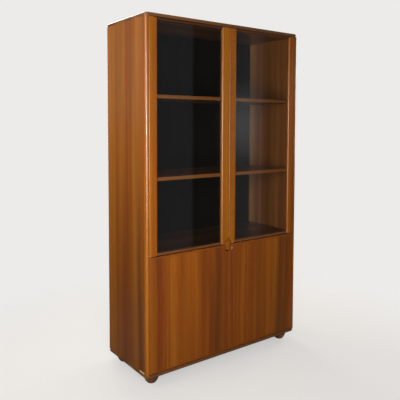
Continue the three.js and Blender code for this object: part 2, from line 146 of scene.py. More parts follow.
# Stage, lamps and camera
PALE = (236, 235, 233)
FLOOR_BOUNCE = (98, 95, 91)
FLOOR_CLEAR = 1.1
FLOOR_RADIUS = 2.3
FLOOR_GLOW = 0.62
WORLD_LIGHT = 0.06
MIRRORED_WORLD_LIGHT = 0.02
MIRRORED_PALE_SHARE = 0.01
ONE_BOUNCE = 0.5
LAMP_TONE = (255, 250, 244)
PANEL_TONE = (246, 248, 255)
Lamp = namedtuple("Lamp", "name place target width height power only_gloss", defaults=(False,))
LAMPS = (
    Lamp("front_lamp", (-1.5, -1.95, 1.4), (-0.2, 0, 1.1), 0.8, 1.6, 38),
    Lamp("side_lamp", (-2.5, 0.1, 2.1), (-0.6, 0, 1.8), 1.2, 0.9, 27),
    Lamp("edge_lamp", (-2.5, -1.65, 1.45), (-0.6, -0.24, 1.45), 0.08, 0.5, 60, only_gloss=True),
    Lamp("low_edge_lamp", (-2.5, -1.65, 0.5), (-0.6, -0.24, 0.4), 0.08, 0.8, 4),
    Lamp("right_edge_lamp", (3.0, -0.9, 1.9), (0.1, -0.24, 1.7), 0.1, 0.8, 7),
    Lamp("rear_left_panel", (-2.4, 3.0, 2.4), (-0.6, 0, 2.0), 1.6, 1.8, 2.5),
    Lamp("rim_lamp", (-0.3, 2.1, 3.3), (-0.6, 0, 2.1), 0.8, 0.6, 24),
    Lamp("overhead_lamp", (0.3, 0.6, 4.0), (0, 0, 2.1), 2.2, 1.4, 40),
    Lamp("right_lamp", (3.2, 0.3, 1.9), (0.6, 0, 1.1), 1.2, 1.8, 40),
    Lamp("rear_lamp", (0.9, 3.4, 2.0), (0, 0.24, 1.1), 1.8, 1.8, 55),
)
Panel = namedtuple("Panel", "name place width height strength softness")
PANELS = (
    Panel("bright_panel", (1.42, -1.72, 1.52), 0.72, 1.05, 0.6, 1),
    Panel("dim_panel", (0.45, -1.72, 1.4), 0.74, 2.6, 0.125, 0.12),
    Panel("haze_panel", (1.47, -1.76, 1.5), 0.72, 3.2, 0.15, 0.4),
)
PHOTO_SIZE = 400
CAMERA_PLACE = (-2.0310, -2.6804, 1.5185)
CAMERA_YAW = radians(36.45)
CAMERA_PITCH = radians(3.33)
CAMERA_ROLL = radians(0.16)
FOCAL_PIXELS = 507.3
AXIS_ROW = 153.8
SENSOR = 36


# Outlines and solids


def outline(corners):
    """Points through corners given as (u, v, radius), each rounded to its radius."""
    points = []
    for i, (u, v, radius) in enumerate(corners):
        corner = Vector((u, v))
        if not radius:
            points.append(corner)
            continue
        before = (Vector(corners[i - 1][:2]) - corner).normalized()
        after = (Vector(corners[(i + 1) % len(corners)][:2]) - corner).normalized()
        half = before.angle(after) / 2
        centre = corner + (before + after).normalized() * radius / sin(half)
        first = corner + before * radius / tan(half) - centre
        last = corner + after * radius / tan(half) - centre
        start = atan2(first.y, first.x)
        turn = atan2(first.cross(last), first.dot(last))
        for k in range(CORNER_STEPS + 1):
            angle = start + turn * k / CORNER_STEPS
            points.append(centre + radius * Vector((cos(angle), sin(angle))))
    return points


def rectangle(u, v, radii):
    """A rectangle's corners for an outline: (start, end) in u and in v, and a radius for each corner."""
    ends = ((0, 0), (1, 0), (1, 1), (0, 1))
    return [(u[i], v[j], radius) for (i, j), radius in zip(ends, radii)]


def prism(corners, axis, start, end):
    """A bar with these corners' outline: drawn in X and Y along Z, or in Y and Z along X."""
    points = outline(corners)
    place = {"Z": lambda u, v, w: (u, v, w), "X": lambda u, v, w: (w, u, v)}[axis]
    bm = bmesh.new()
    low = [bm.verts.new(place(*p, start)) for p in points]
    high = [bm.verts.new(place(*p, end)) for p in points]
    count = len(points)
    for i in range(count):
        j = (i + 1) % count
        bm.faces.new((low[i], low[j], high[j], high[i]))
    bm.faces.new(low)
    bm.faces.new(high)
    bmesh.ops.recalc_face_normals(bm, faces=bm.faces)
    return bm


def quarter_round(radius, steps=RIM_STEPS):
    """A quarter round as (inset, height) steps, from the vertical face inwards."""
    angles = [pi / 2 * k / steps for k in range(steps + 1)]
    return [(radius * (1 - cos(a)), radius * sin(a)) for a in angles]


def ring_solid(width, length, corner, rings, steps):
    """Rounded rectangles around the Z axis, one above the other, given as (inset, height) rings."""
    quadrants = ((1, 1), (-1, 1), (-1, -1), (1, -1))
    bm = bmesh.new()
    levels = []
    for inset, z in rings:
        level = []
        for quadrant, (sx, sy) in enumerate(quadrants):
            for k in range(steps + 1):
                angle = pi / 2 * (quadrant + k / steps)
                x = sx * (width / 2 - corner) + (corner - inset) * cos(angle)
                y = sy * (length / 2 - corner) + (corner - inset) * sin(angle)
                level.append(bm.verts.new((x, y, z)))
        levels.append(level)
    count = len(levels[0])
    for below, above in zip(levels, levels[1:]):
        for i in range(count):
            j = (i + 1) % count
            bm.faces.new((below[i], below[j], above[j], above[i]))
    bm.faces.new(levels[0][::-1])
    bm.faces.new(levels[-1])
    bmesh.ops.remove_doubles(bm, verts=bm.verts, dist=SAME_PLACE)
    bmesh.ops.recalc_face_normals(bm, faces=bm.faces)
    return bm


def board(width, length, thickness, corner, low_round, high_round):
    """A board with rounded corners and two rounded rims, lying on Z = 0 around the origin."""
    low = [(inset, low_round - height) for inset, height in quarter_round(low_round)]
    high = [(inset, thickness - high_round + height) for inset, height in quarter_round(high_round)]
    return ring_solid(width, length, corner, low[::-1] + high, CORNER_STEPS)


def turned(profile, steps=METAL_STEPS, ring=False):
    """A solid turned about Z from (radius, height) points. A ring's profile closes on itself."""
    bm = bmesh.new()
    circles = []
    for radius, z in profile:
        angles = [2 * pi * k / steps for k in range(steps)] if radius else [0]
        circles.append([bm.verts.new((radius * cos(a), radius * sin(a), z)) for a in angles])
    pairs = list(zip(circles, circles[1:])) + ([(circles[-1], circles[0])] if ring else [])
    for below, above in pairs:
        for i in range(steps):
            j = (i + 1) % steps
            lower = [below[i % len(below)], below[j % len(below)]]
            upper = [above[j % len(above)], above[i % len(above)]]
            bm.faces.new(list(dict.fromkeys(lower + upper)))
    bmesh.ops.recalc_face_normals(bm, faces=bm.faces)
    return bm


def block(low, high):
    """A plain box between two corners, used only to cut with."""
    bm = bmesh.new()
    bmesh.ops.create_cube(bm, size=1)
    size = Vector(high) - Vector(low)
    middle = (Vector(high) + Vector(low)) / 2
    bm.transform(Matrix.Translation(middle) @ Matrix.Diagonal(size).to_4x4())
    return bm


# Turns that point a solid's own +Z somewhere else
FACING = {
    "up": Matrix(),
    "down": Matrix.Rotation(pi, 4, "X"),
    "front": Matrix.Rotation(pi / 2, 4, "X"),
    "back": Matrix.Rotation(-pi / 2, 4, "X"),
    "left": Matrix.Rotation(-pi / 2, 4, "Y"),
    "right": Matrix.Rotation(pi / 2, 4, "Y"),
}


def placed(bm, origin, facing):
    bm.transform(Matrix.Translation(origin) @ FACING[facing])
    return bm


def rod(radius, length, origin, facing):
    """A plain round rod, used only to cut with."""
    return placed(turned([(0, 0), (radius, 0), (radius, length), (0, length)], BORE_STEPS), origin, facing)


def joined(parts):
    """Several separate solids in one bmesh."""
    whole = bmesh.new()
    for bm in parts:
        mesh = bpy.data.meshes.new("part")
        bm.to_mesh(mesh)
        bm.free()
        whole.from_mesh(mesh)
        bpy.data.meshes.remove(mesh)
    return whole


def object_from(name, bm):
    mesh = bpy.data.meshes.new(name)
    bm.to_mesh(mesh)
    bm.free()
    obj = bpy.data.objects.new(name, mesh)
    bpy.context.scene.collection.objects.link(obj)
    return obj


def combined(bm, others, operation="DIFFERENCE"):
    """A solid after others are cut out of it, or joined to it."""
    solid = object_from("solid", bm)
    tool = object_from("tool", joined(others))
    boolean = solid.modifiers.new("boolean", "BOOLEAN")
    boolean.object = tool
    boolean.operation = operation
    boolean.solver = "EXACT"
    result = bmesh.new()
    result.from_object(solid, bpy.context.evaluated_depsgraph_get())
    bpy.data.objects.remove(solid)
    bpy.data.objects.remove(tool)
    return result


def eased(bm, width):
    """Every sharp edge broken by a small round."""
    sharp = [edge for edge in bm.edges if edge.calc_face_angle(0) > SHARP_ANGLE]
    bmesh.ops.bevel(
        bm, geom=sharp, offset=width, segments=EASE_STEPS, profile=ROUND_PROFILE, affect="EDGES",
        clamp_overlap=True,
    )
    return bm


def shown(name, bm, material, body, slot):
    """A finished piece, shaded smooth up to its sharp edges, that moves with a body."""
    obj = object_from(name, bm)
    obj.data.shade_smooth()
    obj.data.set_sharp_from_angle(angle=SHARP_ANGLE)
    shading = obj.modifiers.new("shading", "WEIGHTED_NORMAL")
    shading.keep_sharp = True
    obj.data.materials.append(material)
    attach(obj, body)
    return obj


def stand_for(node, bm, material):
    """A finished piece in place of a CAD node."""
    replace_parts(shown(node + "_surface", bm, material, BODY_OF[node], SLOT_OF[node]), node)


# Materials


def colour(red, green, blue):
    """A screen's sRGB colour, from 0 to 255, as linear light with full alpha."""
    def linear(value):
        share = value / 255
        return share / 12.92 if share <= 0.04045 else ((share + 0.055) / 1.055) ** 2.4
    return (linear(red), linear(green), linear(blue), 1)


class Tree:
    """Short calls that build the nodes of one material or world."""

    def __init__(self, owner):
        owner.use_nodes = True
        self.owner = owner
        self.nodes = owner.node_tree.nodes
        self.links = owner.node_tree.links
        self.nodes.clear()

    def add(self, kind, inputs=(), output=0, **settings):
        """A node with its settings and inputs, given as numbers or as sockets. Returns one output."""
        node = self.nodes.new("ShaderNode" + kind)
        for key, value in settings.items():
            setattr(node, key, value)
        for key, value in dict(inputs).items():
            if isinstance(value, bpy.types.NodeSocket):
                self.links.new(value, node.inputs[key])
            else:
                node.inputs[key].default_value = value
        return node.outputs[output]

    def place(self):
        return self.add("TexCoord", output="Object")

    def part(self, vector, axis):
        return self.add("SeparateXYZ", {"Vector": vector}, output=axis)

    def math(self, operation, first, second=0):
        return self.add("Math", {0: first, 1: second}, operation=operation)

    def away(self, value, middle):
        """How far a value is from a middle, to either side."""
        return self.math("ABSOLUTE", self.math("SUBTRACT", value, middle))

    def product(self, *factors):
        result = factors[0]
        for factor in factors[1:]:
            result = self.math("MULTIPLY", result, factor)
        return result

    def vector(self, operation, first, second):
        return self.add("VectorMath", {0: first, 1: second}, operation=operation)

    def ramp(self, value, levels, tones):
        """A colour ramp through tones that lie at these levels of a value."""
        node = self.nodes.new("ShaderNodeValToRGB")
        elements = node.color_ramp.elements
        while len(elements) < len(tones):
            elements.new(1)
        for element, level, tone in zip(elements, levels, tones):
            element.position = level
            element.color = colour(*tone)
        self.links.new(value, node.inputs["Fac"])
        return node.outputs["Color"]

    def span(self, value, low, high, to_low=0, to_high=1, smooth=False):
        """A value's stretch from low to high laid on another stretch, and held at its ends."""
        kind = "SMOOTHSTEP" if smooth else "LINEAR"
        inputs = {"Value": value, "From Min": low, "From Max": high, "To Min": to_low, "To Max": to_high}
        return self.add("MapRange", inputs, interpolation_type=kind)

    def swing(self, noise, amount):
        """A noise as a factor around 1, this much to either side."""
        return self.span(noise, *NOISE_RANGE, 1 - amount, 1 + amount)

    def mix(self, factor, first, second):
        """Two colours mixed. A mix node takes colours at its inputs 6 and 7 and gives one at output 2."""
        return self.add("Mix", {0: factor, 6: first, 7: second}, output=2, data_type="RGBA")

    def layer(self, place, kind, grain="Z", output="Fac"):
        """One layer of noise, drawn out along the grain."""
        scaled = self.vector("MULTIPLY", place, along(grain, kind.across, kind.lengthwise))
        return self.add("TexNoise", {"Vector": scaled, "Scale": 1, "Detail": kind.detail}, output=output)

    def bump(self, height, strength, distance):
        inputs = {"Strength": strength, "Distance": distance, "Height": height}
        return self.add("Bump", inputs, output="Normal")

    def principled(self, inputs):
        return self.surface(self.add("BsdfPrincipled", inputs))

    def surface(self, shader):
        kind = "World" if isinstance(self.owner, bpy.types.World) else "Material"
        output = self.nodes.new("ShaderNodeOutput" + kind)
        self.links.new(shader, output.inputs["Surface"])
        return self.owner


def material_tree(name):
    return Tree(bpy.data.materials.new(name))


# Where most of a noise's values lie, and the middle of a noise's colour
NOISE_RANGE = (0.3, 0.7)
NOISE_MIDDLE = (0.5, 0.5, 0.5)

# Walnut tones from dark to light, and the level of the bands at which each lies
TONE_LEVELS = (0.34, 0.45, 0.55, 0.66)
VENEER_TONES = ((130, 68, 15), (147, 82, 18), (158, 91, 21), (169, 103, 29))
SOLID_TONES = ((149, 78, 8), (162, 89, 10), (173, 98, 12), (185, 111, 18))
# Painted light and shade: greyer tones for the sides' inner faces, set to the dim, hazy light inside behind
# the glass
INSIDE_PAINTED_LIGHT_TONES = ((136, 81, 36), (153, 92, 41), (165, 100, 47), (181, 112, 54))
DOOR_TONES = ((132, 66, 18), (150, 78, 18), (163, 88, 18), (178, 101, 22))
SHELF_TONES = ((104, 58, 27), (124, 73, 36), (136, 82, 42), (154, 96, 52))
EDGE_TONES = ((144, 84, 36), (174, 107, 48))
# Painted light: brighter tones for the middle shelf's deep front lipping and the screen behind the finger
# hole, making up for the shade in the hole
SCREEN_PAINTED_LIGHT_TONES = ((176, 104, 20), (200, 124, 30))
# Painted shade: darker tones for the middle shelf, the floor of the upper compartments, and the glazed
# doors' top rails under the top's overhang
PAINTED_SHADE_TONES = ((70, 38, 18), (86, 49, 24), (97, 57, 29), (111, 68, 36))
SLAB_TONES = ((102, 60, 30), (120, 75, 40), (132, 85, 47), (144, 95, 55))
FOOT_TONES = ((120, 73, 48), (141, 87, 59), (157, 100, 68), (173, 112, 78))
JOINT_TONE = (40, 22, 10)
STREAK_TONE = (70, 45, 22)
# Painted shade: the tone that darkens and reddens the lower part of the left side, where the light falls off
LOW_SIDE_PAINTED_SHADE_TONE = (84, 30, 12)
# Painted light: the pale tone of a band on the right side near the back, where light falls on the inside
# wall
INSIDE_WALL_PAINTED_LIGHT_TONE = (204, 142, 84)
STRIP_LEVELS = (0.4, 0.6)

# Layers of noise: waves a metre across the grain, waves a metre along it, and the detail
Layer = namedtuple("Layer", "across lengthwise detail")
SWAY = Layer(2.2, 1.1, 1)
BANDS = Layer(12, 0.25, 2)
WARMTH = Layer(19, 0.35, 1)
STRIPES = Layer(85, 0.8, 4)
FIBRES = Layer(480, 11, 2)
PORES = Layer(1500, 55, 1)
RIPPLES = Layer(20, 50, 1)
SCRATCHES = Layer(2600, 240, 2)
TARNISH = Layer(60, 60, 3)
CLOUDS = Layer(9, 0.8, 4)
BOARD_GRAIN = Layer(160, 3, 3)
GRIT = Layer(900, 500, 2)
MOULD_GRAIN = Layer(1500, 1500, 1)
DUST = Layer(7, 5, 3)

# How the grain runs, and how strongly its layers show
SWAY_REACH = 0.035
SEED_SPREAD = Vector((1, 0.7, 1.3))
SIDE_LEAF = 0.23
DOOR_LEAF = 0.115
LEAF_SHIFT = 3
LEAF_CONTRAST = 0.03
HUE_RANGE = (0.495, 0.505)
STRIPE_CONTRAST = 0.13
DOOR_STRIPE_CONTRAST = 0.2
FIBRE_CONTRAST = 0.08
FIBRE_RELIEF = 0.5
PORE_LEVELS = (0.6, 0.72)
PORE_SHADE = 0.8
LIPPING_SHARE = 0.6
JOINT_SHARE = 0.4
STILE_FIGURE = 0.03
RIPPLED_STILE = "upper_door_right_meeting_stile"
RIPPLED_FIGURE = 0.08

# How much lighter some boards are, or darker where it is below 0, in levels of tone
LIFTS = {
    "upper_shelf_high": -0.04,
    "upper_shelf_low": 0.09,
    "upper_door_left_hinge_stile": 0.06,
    "upper_door_left_meeting_stile": 0.12,
    "lower_door_right_panel": 0.05,
}

# Where in the endless grain each board is cut
TOP_SEED = 1.7
BASE_SEED = 5.1
SIDE_SEEDS = {"left": 2.3, "right": 7.9}
POST_STEP = 0.8
SHELF_SEED = 6.2
DOOR_SEEDS = {"left": 11.3, "right": 14.2}
RAIL_STEP = 2
LOWER_DOOR_STEP = 3
FOOT_SEED = 21.7

# Gloss and relief. A bump is its strength and its depth
WOOD_ROUGHNESS = (0.34, 0.44)
WOOD_BUMP = (0.1, 0.0003)
WOOD_COAT = 0.35
WOOD_COAT_ROUGHNESS = 0.2
VENEER_COAT = 0.12
STILE_COAT = 0.08
POST_COAT = 0.5
POST_COAT_ROUGHNESS = 0.08
METAL_BUMP = (0.1, 0.0001)
POLISH = 0.06
SCUFF = 0.1
BOARD_ROUGHNESS = (0.5, 0.65)
BOARD_SPECULAR = 0.25
BOARD_BUMP = (0.25, 0.0003)
PLASTIC_ROUGHNESS = (0.45, 0.6)
PLASTIC_BUMP = (0.25, 0.0001)
GLASS_ROUGHNESS = (0, 0.02)
GLASS_IOR = 1.5

# Tones and contrasts of metal, the dark board, plastic and glass
STEEL = ((150, 150, 148), 0.36)
BRASS = ((206, 168, 106), 0.3)
# Painted reflection: a very pale, barely metallic brass for the plate, so it shows bright as though it
# mirrored a pale floor
PLATE_BRASS_PAINTED_SHINE = ((255, 228, 176), 0.45, 0.15)
TARNISH_LEVELS = (0.35, 0.7)
TARNISH_SHADE = 0.72
BOARD_LEVELS = (0.35, 0.65)
BOARD_TONES = ((13, 12, 12), (20, 18, 17))
BOARD_GRAIN_CONTRAST = 0.25
GRIT_CONTRAST = 0.1
PLASTIC_TONES = ((58, 42, 32), (70, 52, 40))
GLASS_TONE = (240, 242, 241)
DUST_LEVELS = (0.45, 0.75)

# A streak: its middle across the grain at Z = 0, half width, share of its own tone, lean, the two
# heights between which it fades in, and its tone. Most are dark streaks in the wood; the left side's
# broad red one is painted shade, and the right side's pale one is painted light.
Streak = namedtuple(
    "Streak", "middle half_width depth lean start_z full_z tone", defaults=(0, None, None, STREAK_TONE)
)
STREAKS = {
    "side_panel_left": [
        Streak(-0.18, 0.05, 0.5, 0.038, 2.6, 0.4),
        Streak(0.06, 0.035, 0.15),
        # Painted shade: a broad band over the whole left side, darker and redder towards the bottom
        Streak(-0.05, 0.3, 0.42, 0, 1.2, 0.4, LOW_SIDE_PAINTED_SHADE_TONE),
    ],
    "side_panel_right": [
        Streak(0.07, 0.03, 0.2),
        Streak(-0.1, 0.03, 0.2),
        # Painted light: a pale band near the back of the right side, on both its faces, standing in for
        # light on the inside wall
        Streak(0.2, 0.085, 0.8, tone=INSIDE_WALL_PAINTED_LIGHT_TONE),
    ],
    "lower_door_left_panel": [Streak(-0.09, 0.06, 0.35)],
    "lower_door_right_panel": [Streak(0.455, 0.045, 0.45), Streak(0.5, 0.06, 0.4)],
}


def along(grain, across, lengthwise):
    """A scale or offset for X, Y and Z, with its own value along the grain."""
    values = [across] * 3
    values["XYZ".index(grain)] = lengthwise
    return tuple(values)


def walnut(
    name, grain, tones, seed, across="X", leaf=0, streaks=(), lipping=None, front_strip=None,
    strip_tones=EDGE_TONES, figure=0, lift=0, coat=WOOD_COAT, coat_roughness=WOOD_COAT_ROUGHNESS,
    inside_light_within=None, stripe_contrast=STRIPE_CONTRAST,
):
    """Satin walnut with bands, stripes, fibres and pores along the grain.

    across is the axis that leaves and streaks are counted along. leaf is the width of one sheet of
    veneer. lipping is the (low, high) box of a board edged with a narrow strip of solid wood. front_strip
    is how far back a shelf's solid front strip reaches, and strip_tones are that strip's. figure is how
    strongly the grain ripples, and stripe_contrast how strongly its stripes show. lift makes a whole
    board lighter, in levels of tone. coat is the clear lacquer's gloss. inside_light_within is how far
    from the middle of the bookcase a side's inner faces take their own greyer tones: painted light and
    shade, standing in for the dim, hazy light inside behind the glass.
    """
    t = material_tree(name)
    place = t.place()

    def layer(kind, output="Fac"):
        return t.layer(seeded, kind, grain, output)

    seeded = t.vector("ADD", place, seed * SEED_SPREAD)
    sway = t.vector("SUBTRACT", layer(SWAY, "Color"), NOISE_MIDDLE)
    sway = t.vector("MULTIPLY", sway, along(grain, SWAY_REACH, 0))
    swayed = t.part(t.vector("ADD", place, sway), across)
    seeded = t.vector("ADD", seeded, sway)
    if leaf:
        number = t.math("FLOOR", t.math("DIVIDE", t.math("ADD", t.part(place, across), seed), leaf))
        leaf_tone = t.add("TexWhiteNoise", {"W": number}, output="Value", noise_dimensions="1D")
        shift = t.add("CombineXYZ", {grain: t.math("MULTIPLY", leaf_tone, LEAF_SHIFT)})
        seeded = t.vector("ADD", seeded, shift)
    level = t.math("ADD", layer(BANDS), lift)
    if leaf:
        level = t.math("ADD", level, t.span(leaf_tone, 0, 1, -LEAF_CONTRAST, LEAF_CONTRAST))
    tone = t.ramp(level, TONE_LEVELS, tones)
    fibres = layer(FIBRES)
    pores = t.span(layer(PORES), *PORE_LEVELS)
    light = t.product(t.swing(layer(STRIPES), stripe_contrast), t.swing(fibres, FIBRE_CONTRAST))
    light = t.product(light, t.span(pores, 0, 1, 1, PORE_SHADE))
    if figure:
        light = t.product(light, t.swing(layer(RIPPLES), figure))
    # Painted light and shade: a side's inner faces take their own greyer tones for the light inside behind
    # the glass
    if inside_light_within:
        is_inner = t.math("LESS_THAN", t.math("ABSOLUTE", t.part(place, "X")), inside_light_within)
        tone = t.mix(is_inner, tone, t.ramp(level, TONE_LEVELS, INSIDE_PAINTED_LIGHT_TONES))
    for streak in streaks:
        middle = t.math("ADD", t.product(t.part(place, "Z"), streak.lean), streak.middle)
        share = t.span(t.away(swayed, middle), streak.half_width, 0, to_high=streak.depth, smooth=True)
        if streak.start_z is not None:
            share = t.product(share, t.span(t.part(place, "Z"), streak.start_z, streak.full_z))
        tone = t.mix(share, tone, colour(*streak.tone))
    hue = t.span(layer(WARMTH), *NOISE_RANGE, *HUE_RANGE)
    finish = t.add("HueSaturation", {"Hue": hue, "Value": light, "Color": tone}, output="Color")
    if lipping:
        finish = edged(t, place, finish, fibres, tones, lipping)
    if front_strip is not None:
        strip = t.mix(t.span(level, *STRIP_LEVELS), colour(*strip_tones[0]), colour(*strip_tones[1]))
        behind = t.span(t.part(place, "Y"), front_strip - LIPPING_JOINT, front_strip)
        finish = t.mix(behind, strip, finish)
    relief = t.math("SUBTRACT", t.product(fibres, FIBRE_RELIEF), pores)
    return t.principled({
        "Base Color": finish,
        "Roughness": t.span(fibres, *NOISE_RANGE, *WOOD_ROUGHNESS),
        "Normal": t.bump(relief, *WOOD_BUMP),
        "Coat Weight": coat,
        "Coat Roughness": coat_roughness,
    })


def edged(t, place, finish, fibres, tones, box):
    """The veneer's finish with a strip of solid wood round the board, and the fine dark joint beside it."""
    low, high = box
    nearest = None
    for axis, number in (("X", 0), ("Z", 2)):
        middle = (low[number] + high[number]) / 2
        reach = (high[number] - low[number]) / 2
        inside = t.math("SUBTRACT", reach, t.away(t.part(place, axis), middle))
        nearest = t.math("MINIMUM", nearest, inside) if nearest else inside
    strip = t.mix(t.span(fibres, *NOISE_RANGE), colour(*tones[1]), colour(*tones[2]))
    in_strip = t.span(nearest, LIPPING - LIPPING_JOINT, LIPPING, LIPPING_SHARE, 0)
    in_joint = t.span(t.away(nearest, LIPPING), 0, LIPPING_JOINT, JOINT_SHARE, 0)
    return t.mix(in_joint, t.mix(in_strip, finish, strip), colour(*JOINT_TONE))


def metal(name, tone, roughness, metallic=1):
    """Metal with the fine scratches of brushing and handling. Below full metallic, more of its tone shows as
    plain colour.
    """
    t = material_tree(name)
    place = t.place()
    scratches = t.layer(place, SCRATCHES)
    tarnish = t.span(t.layer(place, TARNISH), *TARNISH_LEVELS)
    darker = tuple(TARNISH_SHADE * value for value in colour(*tone)[:3]) + (1,)
    return t.principled({
        "Base Color": t.mix(tarnish, colour(*tone), darker),
        "Metallic": metallic,
        "Roughness": t.span(scratches, *NOISE_RANGE, roughness - POLISH, roughness + SCUFF),
        "Normal": t.bump(scratches, *METAL_BUMP),
    })


def dark_board():
    """The matt dark stained board at the back, with a faint upright grain."""
    t = material_tree("dark_back_board")
    place = t.place()
    clouds, grain, grit = [t.layer(place, kind) for kind in (CLOUDS, BOARD_GRAIN, GRIT)]
    tone = t.ramp(clouds, BOARD_LEVELS, BOARD_TONES)
    light = t.product(t.swing(grain, BOARD_GRAIN_CONTRAST), t.swing(grit, GRIT_CONTRAST))
    return t.principled({
        "Base Color": t.add("HueSaturation", {"Value": light, "Color": tone}, output="Color"),
        "Roughness": t.span(grit, *NOISE_RANGE, *BOARD_ROUGHNESS),
        "Specular IOR Level": BOARD_SPECULAR,
        "Normal": t.bump(t.product(grain, grit), *BOARD_BUMP),
    })


def plastic():
    """Matt brown plastic with a fine moulded grain."""
    t = material_tree("brown_plastic")
    grain = t.layer(t.place(), MOULD_GRAIN)
    dark, light = PLASTIC_TONES
    return t.principled({
        "Base Color": t.mix(t.span(grain, *NOISE_RANGE), colour(*dark), colour(*light)),
        "Roughness": t.span(grain, *NOISE_RANGE, *PLASTIC_ROUGHNESS),
        "Normal": t.bump(grain, *PLASTIC_BUMP),
    })


def clear_glass():
    """Clear float glass with a faint film of dust, which lets lamps through."""
    t = material_tree("clear_glass")
    dust = t.layer(t.place(), DUST)
    pane = t.add("BsdfPrincipled", {
        "Base Color": colour(*GLASS_TONE),
        "Roughness": t.span(dust, *DUST_LEVELS, *GLASS_ROUGHNESS),
        "Transmission Weight": 1,
        "IOR": GLASS_IOR,
    })
    through = t.add("BsdfTransparent", {"Color": colour(*GLASS_TONE)})
    shadow = t.add("LightPath", output="Is Shadow Ray")
    return t.surface(t.add("MixShader", {"Fac": shadow, 1: pane, 2: through}))


def seen_directly(t):
    """1 where the camera sees a surface, plainly or through glass, and 0 for bounced light."""
    path = t.nodes.new("ShaderNodeLightPath").outputs
    through = t.math("MAXIMUM", path["Is Camera Ray"], path["Is Transmission Ray"])
    bounces = t.math("ADD", path["Diffuse Depth"], path["Glossy Depth"])
    return t.math("MULTIPLY", through, t.math("LESS_THAN", bounces, ONE_BOUNCE))


def floor_material():
    """A pale floor that takes the object's shadow near it and fades into the pale background."""
    t = material_tree("pale_floor")
    seen = seen_directly(t)
    lit = t.add("BsdfDiffuse", {"Color": t.mix(seen, colour(*FLOOR_BOUNCE), colour(*PALE))})
    glow = t.add("Emission", {"Color": colour(*PALE)})
    floor = t.add("MixShader", {"Fac": t.product(seen, FLOOR_GLOW), 1: lit, 2: glow})
    distance = t.add("VectorMath", {0: t.place()}, output="Value", operation="LENGTH")
    fade = t.span(distance, FLOOR_CLEAR, FLOOR_RADIUS, smooth=True)
    return t.surface(t.add("MixShader", {"Fac": fade, 1: floor, 2: t.add("BsdfTransparent")}))


def reflection_material(panel):
    """A soft glow that only shows where the glass panes mirror it, and nothing anywhere else."""
    t = material_tree(panel.name)
    path = t.nodes.new("ShaderNodeLightPath").outputs
    mirrored = t.math("GREATER_THAN", path["Glossy Depth"], ONE_BOUNCE)
    inside_pane = t.math("MULTIPLY", path["Is Transmission Ray"], mirrored)
    share = t.math("MAXIMUM", path["Is Glossy Ray"], inside_pane)
    for axis, middle, size in (("X", panel.place[0], panel.width), ("Z", panel.place[2], panel.height)):
        away = t.away(t.part(t.place(), axis), middle)
        share = t.product(share, t.span(away, size / 2, size / 2 * (1 - panel.softness), smooth=True))
    glow = t.add("Emission", {"Color": colour(*PANEL_TONE), "Strength": panel.strength})
    return t.surface(t.add("MixShader", {"Fac": share, 1: t.add("BsdfTransparent"), 2: glow}))


# Driving places, read from the construction


def box_of(node):
    low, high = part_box(node)
    return Vector(low), Vector(high)


def middle_of(node, **fixed):
    """The middle of a node's box, with any coordinates given here in place of its own."""
    low, high = box_of(node)
    middle = (low + high) / 2
    for axis, value in fixed.items():
        setattr(middle, axis, value)
    return middle


BACK_LOW, BACK_HIGH = box_of("back_panel")
GLASS_LOW, GLASS_HIGH = box_of("upper_door_left_glass")
SHELF_NODES = ("middle_shelf", "upper_shelf_high", "upper_shelf_low", "lower_shelf")
PIN_SETS = ("upper_pin_high", "upper_pin_low", "lower_pin")
PINS = [f"{pins}_{side}_{row}" for pins in PIN_SETS for side in SIDES for row in ("front", "rear")]
FEET = [f"foot_{row}_{side}" for row in ("front", "rear") for side in SIDES]
SPLIT_Z = (box_of("lower_door_left_panel")[1].z + box_of("upper_door_left_meeting_stile")[0].z) / 2


# Wooden pieces


def back_groove():
    """What the back panel's grooves take out of the slabs and sides round it."""
    slack = Vector((BACK_SLACK, GAP, BACK_SLACK))
    return block(BACK_LOW - slack, BACK_HIGH + slack)


def slabs(woods):
    """Top and base slab: a big round on the outer rim, a small one inside, a groove for the back panel."""
    for node, facing in (("top_panel", "up"), ("base_panel", "down")):
        low, high = box_of(node)
        size = high - low
        bm = board(size.x, size.y, size.z, SLAB_CORNER, SLAB_EASE, SLAB_ROUND)
        placed(bm, (0, 0, low.z if facing == "up" else high.z), facing)
        cutters = [back_groove()]
        if node == "base_panel":
            for foot in FEET:
                start = low.z - OVERRUN
                depth = box_of(foot)[1].z + GAP - start
                cutters.append(rod(SPIGOT_RADIUS + GAP, depth, middle_of(foot, z=start), "up"))
        stand_for(node, combined(bm, cutters), woods[node])


def side_panels(woods):
    """Side panels with the back's groove, the shelf pins' bores and, on the left, the plate's pocket."""
    for side in SIDES:
        node = "side_panel_" + side
        low, high = box_of(node)
        is_left = side == "left"
        outer, inner, facing = (low.x, high.x, "right") if is_left else (high.x, low.x, "left")
        corners = rectangle((outer, inner), (low.y, high.y), (0, 0, EDGE_EASE, SIDE_BACK_ROUND))
        cutters = [back_groove()]
        for pin in [name for name in PINS if f"_{side}_" in name]:
            pin_low, pin_high = box_of(pin)
            deepest = pin_low.x - GAP if is_left else pin_high.x + GAP
            length = abs(inner - deepest) + OVERRUN
            cutters.append(rod(PIN_RADIUS + GAP, length, middle_of(pin, x=deepest), facing))
        if is_left:
            plate_low, plate_high = box_of("blank_plate")
            gap = Vector((GAP, GAP, GAP))
            cutters.append(block(plate_low - gap - Vector((OVERRUN, 0, 0)), plate_high + gap))
        bm = combined(prism(corners, "Z", low.z, high.z), cutters)
        stand_for(node, bm, woods[node])


